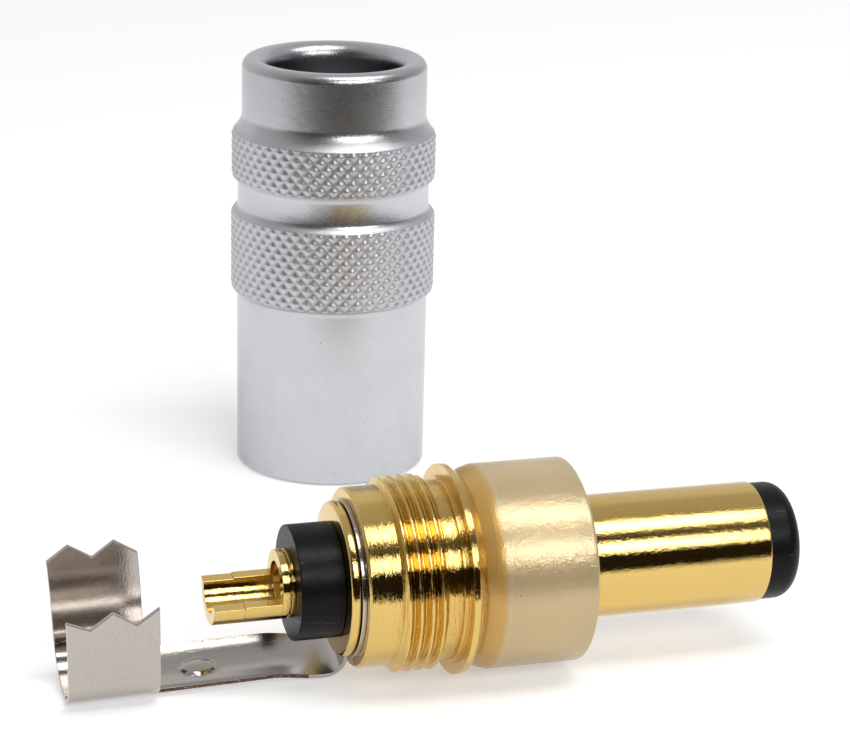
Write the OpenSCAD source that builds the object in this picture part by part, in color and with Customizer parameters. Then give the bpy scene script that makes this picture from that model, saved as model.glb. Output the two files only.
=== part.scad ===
// DC power plug, 5.5 mm barrel, taken apart for soldering: the contact core lies on its side
// with its axis along X and its tip towards +X, and the knurled shell stands on its open end
// behind it. Origin: on the plug's axis, in the mating face of the collar. Millimetres.

/* [Barrel contact] */
// Outside diameter of the barrel
barrel_d = 5.5; // [5:0.05:6]
// Wall of the barrel tube
barrel_wall = 0.42; // [0.38:0.01:0.5]
// Height of the shoulder that stops the tube against the collar
barrel_step = 0.17; // [0.16:0.01:0.2]
// Length of bare barrel in front of the collar
barrel_len = 8.85; // [6:0.05:14]
// Edge break at the mouth of the barrel
barrel_edge = 0.06; // [0.02:0.01:0.15]
// Diameter of the rolled lip behind the lug washer
lip_d = 6.84; // [6.4:0.02:7.4]
// Thickness of the rolled lip
lip_t = 0.43; // [0.3:0.01:0.6]

/* [Insulators] */
// How far the tip insulator stands out of the barrel
nose_len = 1.2; // [0.5:0.05:1.6]
// Diameter of the tip insulator's nose
nose_d = 5.18; // [4.9:0.02:5.18]
// Radius of the nose's outer edge
nose_round = 0.7; // [0.2:0.05:0.8]
// Width of the rim round the pin hole of the nose
nose_mouth_edge = 0.12; // [0.05:0.01:0.3]
// Depth of the tip insulator inside the barrel
tip_insulator_depth = 6.5; // [4:0.1:7.5]
// Diameter of the rear insulator's head
rear_head_d = 5.1; // [4.9:0.02:5.6]
// Length of the rear insulator's head behind the lip
rear_head_len = 1.96; // [1.2:0.02:3]
// Length of the rear insulator inside the barrel tube
rear_spigot_len = 6; // [3:0.1:7]

/* [Collar] */
// Outside diameter of the moulded collar
collar_d = 9; // [8.2:0.02:9.4]
// Length of the collar from the flange to the mating face
collar_len = 5.05; // [4:0.05:7]
// Length of the collar's rear bevel
collar_bevel = 0.6; // [0.2:0.05:1]
// Depth of the collar's rear bevel
collar_bevel_depth = 0.32; // [0.1:0.02:0.6]
// Edge radius at the mating face
collar_edge = 0.18; // [0.05:0.01:0.3]
// Thickness of the collar's front wall
collar_front_wall = 0.8; // [0.5:0.05:1.2]

/* [Threaded body] */
// Diameter of the flange rim
flange_d = 9.33; // [9.1:0.01:9.9]
// Width of the cylindrical land on the flange rim
flange_land = 0.16; // [0.05:0.01:0.3]
// Length of the flange's cone towards the collar
flange_cone_len = 0.5; // [0.3:0.02:0.6]
// Depth of the flange's cone
flange_cone_depth = 0.42; // [0.1:0.02:0.5]
// Diameter of the step behind the flange
step_d = 8.3; // [8.1:0.01:8.5]
// Length of the step behind the flange
step_len = 0.28; // [0.1:0.01:0.5]
// Diameter of the relief between step and thread
relief_d = 7.96; // [7.6:0.01:8.05]
// Length of the relief
relief_len = 0.7; // [0.4:0.01:1]
// Crest diameter of the thread
thread_d = 8.66; // [8.5:0.01:8.8]
// Pitch of the thread
thread_pitch = 0.52; // [0.4:0.01:0.6]
// Number of thread ridges
thread_ridges = 4; // [3:1:5]
// Depth of the thread
thread_depth = 0.3; // [0.2:0.01:0.4]
// Diameter of the plain pilot behind the thread
pilot_d = 7.94; // [7.6:0.01:8.05]
// Length of the plain pilot
pilot_len = 1.32; // [0.8:0.01:2]
// Chamfer at the rear edge of the pilot
pilot_chamfer = 0.22; // [0.05:0.01:0.4]
// Diameter of the body's spigot inside the collar
spigot_d = 7.6; // [7:0.05:7.8]
// Number of retaining grooves turned in the spigot
spigot_grooves = 5; // [0:1:6]
// Depth of the retaining grooves
spigot_groove_depth = 0.2; // [0.05:0.01:0.3]

/* [Centre contact] */
// Outside diameter of the solder cup
cup_d = 3.08; // [2.8:0.02:3.2]
// Bore of the solder cup
cup_bore_d = 2.3; // [1.8:0.02:2.4]
// Length of the closed ring of the cup
cup_ring_len = 0.56; // [0.4:0.01:1]
// Length of the half-cut trough of the cup
cup_trough_len = 3.26; // [2:0.02:4]
// Height of the outer cut face above the axis
cup_cut_height = 0.1; // [-0.2:0.02:0.6]
// How much the inner half of the cut stands higher
cup_cut_step = 0.1; // [0:0.01:0.2]
// How far the cup's bore runs past the closed ring
cup_bore_past_ring = 0.15; // [0.05:0.01:0.3]
// Point angle of the drill that made the cup's bore
drill_angle = 118; // [90:1:140]
// Diameter of the groove between cup and insulator
cup_groove_d = 2.7; // [2.6:0.02:2.8]
// Length of the groove between cup and insulator
cup_groove_len = 0.14; // [0.1:0.01:0.25]
// Diameter of the contact's stem
stem_d = 2.5; // [2.2:0.02:2.6]
// Outside diameter of the pin socket
socket_d = 3.2; // [3:0.02:3.4]
// Bore of the pin socket
socket_bore_d = 2.1; // [1.9:0.02:2.5]
// Depth of the pin socket
socket_depth = 8; // [6:0.1:9]
// Solid stretch between the pin socket and the stem
socket_wall = 1.2; // [0.5:0.1:2]
// Width of the slots that split the pin socket
socket_slot_w = 0.3; // [0.15:0.01:0.4]
// Length of those slots
socket_slot_len = 5; // [3:0.1:6]

/* [Ground lug] */
// Thickness of the sheet
sheet_t = 0.2; // [0.15:0.01:0.3]
// Outside diameter of the washer
washer_d = 7.2; // [6.9:0.02:7.6]
// Width of the arm
arm_w = 2.9; // [2.2:0.05:3.4]
// Radius of the bend between washer and arm, at the middle of the sheet
bend_r = 0.9; // [0.6:0.05:1.2]
// Distance of the arm below the axis at the bend
arm_drop = 4.24; // [4.1:0.01:4.5]
// Slope of the arm, down towards the crimp
arm_slope = 1.9; // [0:0.1:4]
// Length of the arm between bend and crimp
arm_len = 7.45; // [5:0.05:10]
// Length over which the arm turns from flat to hollow
arm_form_len = 2.4; // [1:0.1:4]
// How much flatter the arm's hollow is than the crimp's corners
arm_hollow_extra = 0.35; // [0.1:0.05:1]
// How far the arm's tongue is laid over the washer
tongue_overlap = 0.9; // [0.5:0.05:1.2]
// Length of the crimp
crimp_len = 3.95; // [3:0.05:5]
// Outside width of the crimp
crimp_w = 4.4; // [3.8:0.05:5]
// Radius of the crimp's lower corners, outside
crimp_corner_r = 1.85; // [1.2:0.05:2.1]
// Height of the near wing's highest tooth above the sheet's bottom
near_wing_h = 5.6; // [4:0.05:6.5]
// Height of the far wing's highest tooth above the sheet's bottom
far_wing_h = 6.12; // [4:0.05:7]
// Depth of the teeth
tooth_depth = 0.78; // [0.3:0.02:1.2]
// Length of the oval boss pressed into the arm
boss_len = 1.65; // [1:0.05:2.2]
// Width of the oval boss
boss_w = 1; // [0.6:0.05:1.3]
// Height of the oval boss above the sheet
boss_rise = 0.14; // [0.05:0.01:0.2]
// Place of the oval boss along the arm, as a share of its length
boss_place = 0.78; // [0.3:0.01:0.85]

/* [Shell] */
// Diameter of the plain lower part
shell_d = 10.03; // [9.9:0.01:10.3]
// Total height of the shell
shell_h = 21.75; // [20:0.05:26]
// Diameter over the lower knurl
lower_knurl_d = 10.74; // [10.6:0.01:11]
// Height where the lower knurl starts
lower_knurl_z = 9.5; // [6:0.05:10.5]
// Height of the lower knurl
lower_knurl_h = 4.15; // [3:0.05:4.5]
// Diameter over the upper knurl
upper_knurl_d = 10.68; // [10.6:0.01:11]
// Height of the upper knurl
upper_knurl_h = 2.4; // [1.6:0.05:3]
// Diameter of the groove between the knurls
groove_d = 10; // [9.8:0.01:10.2]
// Height of the groove between the knurls, with its flanks
groove_h = 1.85; // [1.2:0.05:2.4]
// Height of the flanks beside the knurls
flank_h = 0.36; // [0.2:0.01:0.5]
// Diameter of the plain neck at the cable end
neck_d = 9.58; // [9.2:0.01:9.8]
// Height of the curved shoulder between upper knurl and neck
shoulder_h = 0.95; // [0.5:0.05:1.2]
// Radius of the rim at the cable hole
rim_round = 0.62; // [0.3:0.01:0.64]
// Diameter of the cable hole
cable_hole_d = 7; // [6.2:0.05:7.2]
// Depth of the cable hole's plain stretch
cable_hole_len = 2.2; // [1:0.1:3]
// Diameter of the shell's main bore
shell_bore_d = 8.7; // [8.4:0.05:8.8]
// Length of the thread in the open end
shell_thread_len = 3.2; // [2.5:0.1:5]
// Chamfer at the open end
shell_end_chamfer = 0.12; // [0.05:0.01:0.3]

/* [Knurl] */
// Number of diamonds round the shell
knurl_count = 50; // [40:1:56]
// Depth of the knurl
knurl_depth = 0.17; // [0.08:0.01:0.2]
// Height of one diamond
knurl_pitch = 0.72; // [0.6:0.01:0.9]
// Depth of the knurled rings below their pits
knurl_root = 0.35; // [0.25:0.01:0.4]
// How far the knurled rings are sunk into the flanks beside them
knurl_lap = 0.05; // [0.02:0.01:0.08]

/* [Placing] */
// How far the core is turned about its axis, far side up
core_roll = 16; // [0:1:30]
// Place of the shell's axis along the core, from the flange
shell_from_flange = 2; // [-6:0.5:8]
// Distance of the shell's axis behind the core's axis
shell_behind = 28.1; // [12:0.1:40]
// Radial clearance of slip fits
slip = 0.02; // [0.01:0.01:0.04]
// Running clearance of the shell's thread
thread_clearance = 0.06; // [0.03:0.01:0.1]

/* [Hidden] */
fine = 96;
over = 0.5;

GOLD = [0.85, 0.68, 0.36];
NICKEL = [0.74, 0.71, 0.68];
ALUMINIUM = [0.66, 0.66, 0.67];
BLACK = [0.06, 0.06, 0.065];
MILKY = [0.86, 0.78, 0.64];

// Stations along the plug's axis, from the mating face at 0 towards the cable.
x_flange_front = -collar_len;
x_flange_rim = x_flange_front - flange_cone_len;
x_flange_back = x_flange_rim - flange_land;
x_step_back = x_flange_back - step_len;
x_thread_front = x_step_back - relief_len;
thread_len = thread_ridges * thread_pitch;
x_pilot_front = x_thread_front - thread_len;
x_body_back = x_pilot_front - pilot_len;
x_lip_front = x_body_back - sheet_t;
x_lip_back = x_lip_front - lip_t;
x_insulator_back = x_lip_back - rear_head_len;
x_ring_back = x_insulator_back - cup_ring_len;
x_cup_back = x_ring_back - cup_trough_len;
x_tip = barrel_len + nose_len;
x_socket_front = barrel_len + nose_len / 2;

barrel_r = barrel_d / 2;
barrel_bore_r = barrel_r - barrel_wall;
held_r = barrel_r - barrel_step;
body_bore_r = held_r + slip;
liner_r = barrel_bore_r - slip;
stem_r = stem_d / 2;
socket_r = socket_d / 2;
nose_mouth_r = socket_bore_d / 2 + nose_mouth_edge;
floor_z = -flange_d / 2;

// Revolves a profile of [radius, x] points about the X axis.
module turned() {
    rotate([0, 90, 0]) rotate_extrude($fn = fine) children();
}

// Rectangle of a profile, from radius r0 to r1 and from x0 to x1.
module band(r0, r1, x0, x1) {
    translate([r0, x0]) square([r1 - r0, x1 - x0]);
}

// ---------------------------------------------------------------- threaded body
module thread_grooves() {
    crest = thread_pitch / 8;
    for (i = [0 : thread_ridges - 1]) {
        x = x_pilot_front + i * thread_pitch;
        polygon([
            [thread_d / 2 + over, x + crest - over],
            [thread_d / 2, x + crest],
            [thread_d / 2 - thread_depth, x + thread_pitch / 2 - crest / 2],
            [thread_d / 2 - thread_depth, x + thread_pitch / 2 + crest / 2],
            [thread_d / 2, x + thread_pitch - crest],
            [thread_d / 2 + over, x + thread_pitch - crest + over]
        ]);
    }
}

module spigot_ring_grooves() {
    pitch = (collar_len - collar_front_wall) / (spigot_grooves + 1);
    for (i = [1 : 1 : spigot_grooves])
        translate([spigot_d / 2 + spigot_groove_depth, x_flange_front + i * pitch])
            circle(r = 2 * spigot_groove_depth, $fn = 32);
}

module threaded_body_profile() {
    difference() {
        union() {
            polygon([
                [body_bore_r, x_body_back],
                [pilot_d / 2 - pilot_chamfer, x_body_back],
                [pilot_d / 2, x_body_back + pilot_chamfer],
                [pilot_d / 2, x_pilot_front],
                [body_bore_r, x_pilot_front]
            ]);
            band(body_bore_r, thread_d / 2, x_pilot_front, x_thread_front);
            band(body_bore_r, relief_d / 2, x_thread_front, x_step_back);
            band(body_bore_r, step_d / 2, x_step_back, x_flange_back);
            polygon([
                [body_bore_r, x_flange_back],
                [flange_d / 2, x_flange_back],
                [flange_d / 2, x_flange_rim],
                [flange_d / 2 - flange_cone_depth, x_flange_front],
                [body_bore_r, x_flange_front]
            ]);
            band(body_bore_r, spigot_d / 2, x_flange_front, -collar_front_wall);
        }
        thread_grooves();
        spigot_ring_grooves();
    }
}

module threaded_body() {
    color(GOLD) turned() threaded_body_profile();
}

// ---------------------------------------------------------------- barrel sleeve
module barrel_sleeve_profile() {
    polygon([
        [barrel_bore_r, x_lip_back],
        [lip_d / 2 - lip_t, x_lip_back],
        [lip_d / 2, x_lip_front],
        [held_r, x_lip_front],
        [held_r, 0],
        [barrel_r, 0],
        [barrel_r, barrel_len - barrel_edge],
        [barrel_r - barrel_edge, barrel_len],
        [barrel_bore_r, barrel_len]
    ]);
    translate([lip_d / 2 - lip_t, x_lip_front]) intersection() {
        circle(r = lip_t, $fn = 48);
        translate([0, -lip_t]) square(lip_t);
    }
}

module barrel_sleeve() {
    color(GOLD) turned() barrel_sleeve_profile();
}

// ---------------------------------------------------------------- collar
module collar_profile() {
    difference() {
        union() {
            polygon([
                [body_bore_r, x_flange_front],
                [collar_d / 2 - collar_bevel_depth, x_flange_front],
                [collar_d / 2, x_flange_front + collar_bevel],
                [collar_d / 2, -collar_edge],
                [collar_d / 2 - collar_edge, -collar_edge],
                [collar_d / 2 - collar_edge, 0],
                [body_bore_r, 0]
            ]);
            translate([collar_d / 2 - collar_edge, -collar_edge]) circle(r = collar_edge, $fn = 32);
        }
        band(0, spigot_d / 2 + slip, x_flange_front - over, -collar_front_wall);
    }
}

module collar() {
    color(MILKY, 0.6) turned() collar_profile();
}

// ---------------------------------------------------------------- insulators
module tip_insulator_profile() {
    nose_r = nose_d / 2;
    edge = min(nose_round, nose_len - over / 5);
    difference() {
        union() {
            band(socket_r + slip, liner_r, barrel_len - tip_insulator_depth, barrel_len);
            band(socket_r + slip, nose_r, barrel_len, x_tip - edge);
            band(socket_r + slip, nose_r - edge, barrel_len, x_tip);
            translate([nose_r - edge, x_tip - edge]) circle(r = edge, $fn = 48);
        }
        band(0, socket_r + slip, 0, x_socket_front);
    }
    // inner rim of the nose, in front of the pin socket
    band(nose_mouth_r, socket_r + slip + slip, x_socket_front + slip, x_tip - nose_mouth_edge);
}
module tip_insulator() {
    color(BLACK) turned() tip_insulator_profile();
}

module rear_insulator_profile() {
    spigot_front = x_lip_back + rear_spigot_len;
    band(stem_r + slip, rear_head_d / 2, x_insulator_back, x_lip_back);
    band(stem_r + slip, liner_r, x_lip_back, spigot_front);
}

module rear_insulator() {
    color(BLACK) turned() rear_insulator_profile();
}

// ---------------------------------------------------------------- centre contact
module centre_contact_blank() {
    socket_back = x_socket_front - socket_depth - socket_wall;
    turned() difference() {
        union() {
            band(0, cup_d / 2, x_cup_back, x_insulator_back - cup_groove_len);
            band(0, cup_groove_d / 2, x_insulator_back - cup_groove_len, x_insulator_back);
            band(0, stem_r, x_insulator_back, socket_back);
            band(0, socket_r, socket_back, x_socket_front);
        }
        // bore of the cup, with the cone of a drill at its end
        polygon([
            [0, x_cup_back - over],
            [cup_bore_d / 2, x_cup_back - over],
            [cup_bore_d / 2, x_ring_back + cup_bore_past_ring],
            [0, x_ring_back + cup_bore_past_ring + cup_bore_d / 2 / tan(drill_angle / 2)]
        ]);
        // bore of the pin socket
        band(0, socket_bore_d / 2, x_socket_front - socket_depth, x_socket_front + over);
    }
}

module centre_contact() {
    half = cup_trough_len / 2;
    color(GOLD) rotate([core_roll, 0, 0]) difference() {
        centre_contact_blank();
        translate([x_cup_back - over, -cup_d, cup_cut_height]) cube([half + over, 2 * cup_d, cup_d]);
        translate([x_cup_back, -cup_d, cup_cut_height + cup_cut_step])
            cube([cup_trough_len, 2 * cup_d, cup_d]);
        translate([x_socket_front - socket_slot_len, -socket_d, -socket_slot_w / 2])
            cube([socket_slot_len + over, 2 * socket_d, socket_slot_w]);
    }
}

// ---------------------------------------------------------------- ground lug
// The sheet's middle line starts at the washer, turns through the bend and runs down the arm.
x_washer = x_body_back - sheet_t / 2;
bend_angle = 90 - arm_slope;
bend_x = x_washer - bend_r;
bend_z = -arm_drop + bend_r;
trough_r = crimp_corner_r + arm_hollow_extra;
bend_steps = 9;
arm_steps = 10;
across_steps = 8;
tongue_top = tongue_overlap - washer_d / 2;

// One station of the sheet: [x, z, angle of the sheet, how far the trough has formed].
function bend_station(a) = [bend_x + bend_r * cos(a), bend_z - bend_r * sin(a), a, 0];
function arm_start() = bend_station(bend_angle);
function arm_station(s) = let (p = arm_start(), f = min(1, s / arm_form_len))
    [p[0] - s * cos(arm_slope), p[1] - s * sin(arm_slope), bend_angle, f * f * (3 - 2 * f)];
sheet_stations = concat(
    [[x_washer, tongue_top, 0, 0]],
    [for (i = [0 : bend_steps]) bend_station(i * bend_angle / bend_steps)],
    [for (i = [1 : arm_steps]) arm_station(i * (arm_len + crimp_len / 2) / arm_steps)]);

// Point of a station: u runs across the sheet, side is -1 outside and +1 inside the bend.
function lug_point(st, u, side) = let (
        lift = st[3] * (trough_r - sqrt(trough_r * trough_r - u * u)),
        n = lift + side * sheet_t / 2)
    [st[0] - n * cos(st[2]), u, st[1] + n * sin(st[2])];

module bent_sheet() {
    n = len(sheet_stations);
    m = across_steps + 1;
    us = [for (j = [0 : across_steps]) arm_w * (j / across_steps - 0.5)];
    ring = [for (st = sheet_stations) concat(
        [for (u = us) lug_point(st, u, -1)],
        [for (j = [across_steps : -1 : 0]) lug_point(st, us[j], 1)])];
    k = 2 * m;
    points = [for (r = ring) for (p = r) p];
    sides = [for (i = [0 : n - 2]) for (j = [0 : k - 1]) each [
        [i * k + j, i * k + (j + 1) % k, (i + 1) * k + j],
        [i * k + (j + 1) % k, (i + 1) * k + (j + 1) % k, (i + 1) * k + j]]];
    first = [for (j = [0 : across_steps - 1]) each [
        [j, k - 1 - j, j + 1], [j + 1, k - 1 - j, k - 2 - j]]];
    last = [for (f = first) [for (v = [2 : -1 : 0]) (n - 1) * k + f[v]]];
    polyhedron(points, concat(sides, first, last));
}

// U section of the crimp, its outside bottom at z = 0.
module crimp_section() {
    top = max(near_wing_h, far_wing_h) + over;
    difference() {
        crimp_outline(crimp_w / 2, crimp_corner_r, 0, top);
        crimp_outline(crimp_w / 2 - sheet_t, crimp_corner_r - sheet_t, sheet_t, top + over);
    }
}

module crimp_outline(half_w, corner, bottom, top) {
    for (s = [-1, 1])
        translate([s * (half_w - corner), bottom + corner]) circle(r = corner, $fn = 64);
    translate([-half_w, bottom + corner]) square([2 * half_w, top - bottom - corner]);
    translate([corner - half_w, bottom]) square([2 * (half_w - corner), corner]);
}

// Cuts the teeth into a wing: saw line through the given heights, one per half tooth.
module tooth_cutter(heights, side) {
    step = crimp_len / (len(heights) - 1);
    line = [for (i = [0 : len(heights) - 1]) [i * step, heights[i]]];
    depth = crimp_w / 2 + over;
    translate([0, side * depth / 2, 0]) rotate([90, 0, 0])
        translate([0, 0, -depth / 2]) linear_extrude(depth) polygon(concat(
            [[-over, heights[0]]], line, [[crimp_len + over, heights[len(heights) - 1]]],
            [[crimp_len + over, 2 * far_wing_h], [-over, 2 * far_wing_h]]));
}

module crimp() {
    near = near_wing_h;
    far = far_wing_h;
    rotate([0, -arm_slope, 0]) difference() {
        rotate([90, 0, 90]) linear_extrude(crimp_len) crimp_section();
        tooth_cutter([near - tooth_depth / 3, near - tooth_depth, near,
                      near - tooth_depth, near], -1);
        tooth_cutter([far - tooth_depth, far, far - tooth_depth, far, far - tooth_depth], 1);
    }
}

// Oval boss pressed up from the arm.
module arm_boss(st) {
    translate([st[0], 0, st[1] + sheet_t / 2]) rotate([0, -arm_slope, 0])
        resize([boss_len, boss_w, 2 * boss_rise]) sphere(r = 1, $fn = 28);
}

module ground_lug() {
    end = arm_station(arm_len + crimp_len);
    boss_at = arm_station(arm_len * boss_place);
    color(NICKEL) rotate([core_roll, 0, 0]) {
        difference() {
            translate([x_lip_front, 0, 0]) rotate([0, 90, 0]) cylinder(d = washer_d, h = sheet_t, $fn = fine);
            translate([x_lip_front - over, 0, 0]) rotate([0, 90, 0])
                cylinder(r = body_bore_r, h = sheet_t + 2 * over, $fn = fine);
        }
        bent_sheet();
        translate([end[0], 0, end[1] - sheet_t / 2]) crimp();
        arm_boss(boss_at);
    }
}

// ---------------------------------------------------------------- shell
lower_knurl_top = lower_knurl_z + lower_knurl_h;
upper_knurl_z = lower_knurl_top + groove_h;
upper_knurl_top = upper_knurl_z + upper_knurl_h;
shoulder_top = upper_knurl_top + shoulder_h;
shell_minor_r = thread_d / 2 - thread_depth + thread_clearance;

// Radius of the pits of a knurled band.
function pit_r(d) = d / 2 - knurl_depth;

// Ring with a diamond knurl: peaks and pits alternate round and along the band.
module knurl_ring(d, z0, z1) {
    n = 2 * knurl_count;
    rows = max(2, round((z1 - z0) / (knurl_pitch / 2)));
    pit = pit_r(d);
    inner = pit - knurl_root;
    function lattice_r(i, j) = (j > 0 && j < rows && (i + j) % 2 == 1) ? d / 2 : pit;
    outer_pts = [for (j = [0 : rows]) for (i = [0 : n - 1])
        let (a = i * 360 / n, r = lattice_r(i, j))
        [r * cos(a), r * sin(a), z0 + (z1 - z0) * j / rows]];
    inner_pts = [for (z = [z0, z1]) for (i = [0 : n - 1])
        let (a = i * 360 / n) [inner * cos(a), inner * sin(a), z]];
    base = (rows + 1) * n;
    function at(i, j) = j * n + (i + n) % n;
    peak_faces = [for (j = [1 : rows - 1]) for (i = [0 : n - 1]) if ((i + j) % 2 == 1) each [
        [at(i, j), at(i - 1, j), at(i, j + 1)], [at(i, j), at(i, j + 1), at(i + 1, j)],
        [at(i, j), at(i + 1, j), at(i, j - 1)], [at(i, j), at(i, j - 1), at(i - 1, j)]]];
    foot_faces = [for (i = [0 : n - 1]) if (i % 2 == 1) each [
        [at(i, 0), at(i - 1, 0), at(i, 1)],
        [at(i, 0), at(i, 1), at(i + 1, 0)]]];
    head_faces = [for (i = [0 : n - 1]) if ((i + rows) % 2 == 1) each [
        [at(i, rows), at(i, rows - 1), at(i - 1, rows)],
        [at(i, rows), at(i + 1, rows), at(i, rows - 1)]]];
    inner_faces = [for (i = [0 : n - 1]) let (p = (i + 1) % n) each [
        [base + i, base + p, base + n + p], [base + i, base + n + p, base + n + i]]];
    low_faces = [for (i = [0 : n - 1]) let (p = (i + 1) % n) each [
        [i, p, base + p], [i, base + p, base + i]]];
    high_faces = [for (i = [0 : n - 1]) let (p = (i + 1) % n, t = rows * n) each [
        [t + i, base + n + p, t + p], [t + i, base + n + i, base + n + p]]];
    polyhedron(concat(outer_pts, inner_pts), concat(peak_faces, foot_faces,
        head_faces, inner_faces, low_faces, high_faces));
}

module shell_profile() {
    low_r = shell_d / 2;
    groove_r = groove_d / 2;
    neck_r = neck_d / 2;
    low_pit = pit_r(lower_knurl_d) + knurl_lap;
    up_pit = pit_r(upper_knurl_d) + knurl_lap;
    difference() {
        union() {
            polygon([
                [0, 0],
                [low_r - shell_end_chamfer, 0],
                [low_r, shell_end_chamfer],
                [low_r, lower_knurl_z - flank_h],
                [low_pit, lower_knurl_z],
                [low_pit - knurl_root / 2, lower_knurl_z],
                [low_pit - knurl_root / 2, lower_knurl_top],
                [low_pit, lower_knurl_top],
                [groove_r, lower_knurl_top + flank_h],
                [groove_r, upper_knurl_z - flank_h],
                [up_pit, upper_knurl_z],
                [up_pit - knurl_root / 2, upper_knurl_z],
                [up_pit - knurl_root / 2, upper_knurl_top],
                [up_pit, upper_knurl_top],
                [neck_r, shoulder_top],
                [neck_r, shell_h - rim_round],
                [neck_r - rim_round, shell_h - rim_round],
                [neck_r - rim_round, shell_h],
                [0, shell_h]
            ]);
            translate([neck_r - rim_round, shell_h - rim_round]) circle(r = rim_round, $fn = 64);
        }
        shell_bore_profile();
        shoulder_scoop(up_pit, neck_r);
        rim_inner_round();
    }
}

// Concave arc that turns the shoulder into a cove.
module shoulder_scoop(r_low, r_high) {
    rise = r_low - r_high;
    radius = (rise * rise + shoulder_h * shoulder_h) / (2 * rise);
    intersection() {
        translate([r_high + radius, shoulder_top]) circle(r = radius, $fn = 96);
        translate([r_high - over, upper_knurl_top]) square([rise + 2 * over, shoulder_h + over]);
    }
}

module rim_inner_round() {
    hole_r = cable_hole_d / 2;
    difference() {
        translate([hole_r - over, shell_h - rim_round]) square([over + rim_round, rim_round + over]);
        translate([hole_r + rim_round, shell_h - rim_round]) circle(r = rim_round, $fn = 64);
    }
}

module shell_bore_profile() {
    thread_in = thread_d / 2 + thread_clearance;
    bore_top = shell_h - cable_hole_len - (shell_bore_d - cable_hole_d) / 2;
    polygon([
        [0, -over],
        [thread_in + over, -over],
        [thread_in, 0],
        [shell_minor_r, thread_in - shell_minor_r],
        [shell_minor_r, shell_thread_len],
        [shell_bore_d / 2, shell_thread_len],
        [shell_bore_d / 2, bore_top],
        [cable_hole_d / 2, bore_top + (shell_bore_d - cable_hole_d) / 2],
        [cable_hole_d / 2, shell_h + over],
        [0, shell_h + over]
    ]);
}

module shell() {
    color(ALUMINIUM)
        translate([x_flange_rim + shell_from_flange, shell_behind, floor_z]) {
            rotate_extrude($fn = 2 * fine) shell_profile();
            knurl_ring(lower_knurl_d, lower_knurl_z - knurl_lap, lower_knurl_top + knurl_lap);
            knurl_ring(upper_knurl_d, upper_knurl_z - knurl_lap, upper_knurl_top + knurl_lap);
        }
}

shell();
threaded_body();
barrel_sleeve();
collar();
tip_insulator();
rear_insulator();
centre_contact();
ground_lug();
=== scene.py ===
"""DC barrel plug, opened for soldering: stage, finishes and fine detail over the solids."""
import math

import bmesh
import bpy
from bpy.props import FloatProperty, FloatVectorProperty, IntProperty, PointerProperty
from mathutils import Matrix, Vector


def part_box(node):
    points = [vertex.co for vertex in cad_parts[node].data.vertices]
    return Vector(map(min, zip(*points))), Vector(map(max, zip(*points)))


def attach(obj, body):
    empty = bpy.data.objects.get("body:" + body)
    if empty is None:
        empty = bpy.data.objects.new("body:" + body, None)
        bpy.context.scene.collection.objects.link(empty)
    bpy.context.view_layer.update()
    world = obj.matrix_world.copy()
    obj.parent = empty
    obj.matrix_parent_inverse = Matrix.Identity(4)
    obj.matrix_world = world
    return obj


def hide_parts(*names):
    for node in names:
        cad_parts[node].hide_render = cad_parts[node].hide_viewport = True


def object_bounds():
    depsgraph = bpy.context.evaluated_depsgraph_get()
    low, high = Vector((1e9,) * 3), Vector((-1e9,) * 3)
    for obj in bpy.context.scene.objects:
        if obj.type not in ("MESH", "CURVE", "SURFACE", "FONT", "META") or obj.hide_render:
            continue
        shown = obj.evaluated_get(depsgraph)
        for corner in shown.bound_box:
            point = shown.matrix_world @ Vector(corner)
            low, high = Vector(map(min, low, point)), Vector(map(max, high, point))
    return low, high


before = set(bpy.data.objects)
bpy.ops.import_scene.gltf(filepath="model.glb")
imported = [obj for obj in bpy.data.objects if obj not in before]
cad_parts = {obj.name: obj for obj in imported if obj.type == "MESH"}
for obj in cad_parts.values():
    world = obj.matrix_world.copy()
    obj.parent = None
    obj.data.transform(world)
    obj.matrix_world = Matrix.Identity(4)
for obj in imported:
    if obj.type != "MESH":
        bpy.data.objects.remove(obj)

bl_info = {
    "name": "DC barrel plug",
    "version": (1, 0, 0),
    "blender": (4, 5, 0),
    "location": "View3D > Sidebar > Barrel plug",
    "description": "Dresses the packed solids of an opened DC barrel plug",
    "category": "Object",
}

MM = 0.001
CAD_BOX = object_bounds()
FLOOR_Z = CAD_BOX[0].z
SHELL_LOW, SHELL_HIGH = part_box("shell")
SHELL_AXIS = (SHELL_LOW + SHELL_HIGH) / 2

# stations along the plug's axis, in millimetres from the collar's front face
BARREL_FRONT = 8.81
FLANGE_RIM, FLANGE_BACK, STEP_BACK, RELIEF_BACK = -5.40, -5.66, -5.94, -6.59
THREAD_FRONT, THREAD_BACK = -6.61, -8.63
BODY_BACK, WASHER_BACK, LIP_BACK = -10.06, -10.26, -10.71
INSULATOR_BACK, FOOT_BACK, RING_BACK = -12.68, -12.925, -13.25
COLLAR_WALL = -0.8

# radii of the core, in millimetres
BODY_BORE_R, SPIGOT_R, PILOT_R, RELIEF_R = 2.6, 3.80, 3.945, 3.955
STEP_R, FLANGE_FRONT_R, FLANGE_R, CREST_R = 4.125, 4.22, 4.64, 4.3
BARREL_R, HELD_R, BARREL_BORE_R, LIP_R = 2.75, 2.58, 2.33, 3.39
STEM_R, SOCKET_R, PIN_BORE_R, CUP_R = 1.25, 1.6, 1.05, 1.52
LINER_R, NOSE_MOUTH_R, REAR_HEAD_R, WASHER_R = 2.31, 1.17, 2.53, 3.46

CAMERA_PLACE = (-38.32, -105.08, 44.985)
CAMERA_YAW, CAMERA_PITCH, CAMERA_ROLL = 16.73, 18.08, 1.37
# brightness of the room from front (0) to back (1)
ROOM_FRONT = (0.04, 0.035, 0.03)
ROOM_BACK = (0.75, 0.75, 0.76)
ROOM_STOPS = ((0.2, 0.07), (0.36, 0.3), (0.55, 0.5), (0.78, 0.55), (0.82, 0.74))
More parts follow.
